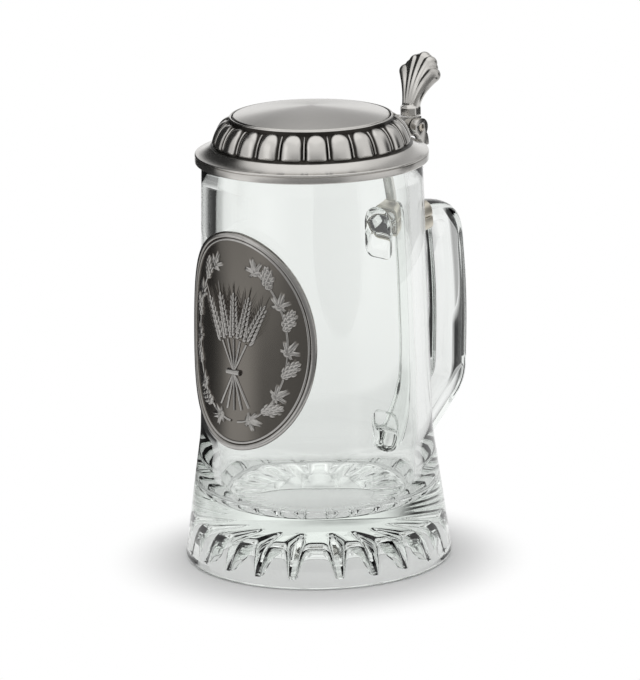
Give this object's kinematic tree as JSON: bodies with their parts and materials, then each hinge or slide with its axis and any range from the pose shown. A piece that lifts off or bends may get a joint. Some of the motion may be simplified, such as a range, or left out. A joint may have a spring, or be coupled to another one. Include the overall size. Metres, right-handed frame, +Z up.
{
  "type": "lidded beer mug",
  "caption": "Clear glass beer mug with a side handle, star-cut foot, oval relief badge and a hinged pewter lid with gadrooned edge and fluted thumb lift.",
  "frame": {"origin": "on the surface it stands on, under the middle of its bounding box, between the foot and the handle's grip", "axes": "+Z up along the glass, +X towards the handle and the hinge, +Y across the handle, along the hinge pin"},
  "size_m": [0.1394, 0.1046, 0.1898],
  "materials": {
    "glass": "polished",
    "pewter": "satin",
    "dark_pewter": "satin",
    "pin_steel": "satin",
    "packing": "matte",
    "adhesive": "matte"
  },
  "bodies": {
    "mug": {"glass_body": "glass", "glass_handle": "glass", "badge_plaque": "dark_pewter", "badge_adhesive": "adhesive", "band_upper": "pewter", "band_lower": "pewter", "band_packing": "packing", "hinge_shank": "pewter", "hinge_pin": "pin_steel"},
    "lid": {"lid": "pewter", "lid_hinge_arm": "pewter", "thumb_lift": "pewter"}
  },
  "joints": [
    {"name": "lid_hinge", "type": "hinge", "parent": "mug", "child": "lid", "pos_m": [0.03919, 0, 0.1618], "axis": [0, 1, 0], "range_deg": [0, 105]}
  ]
}
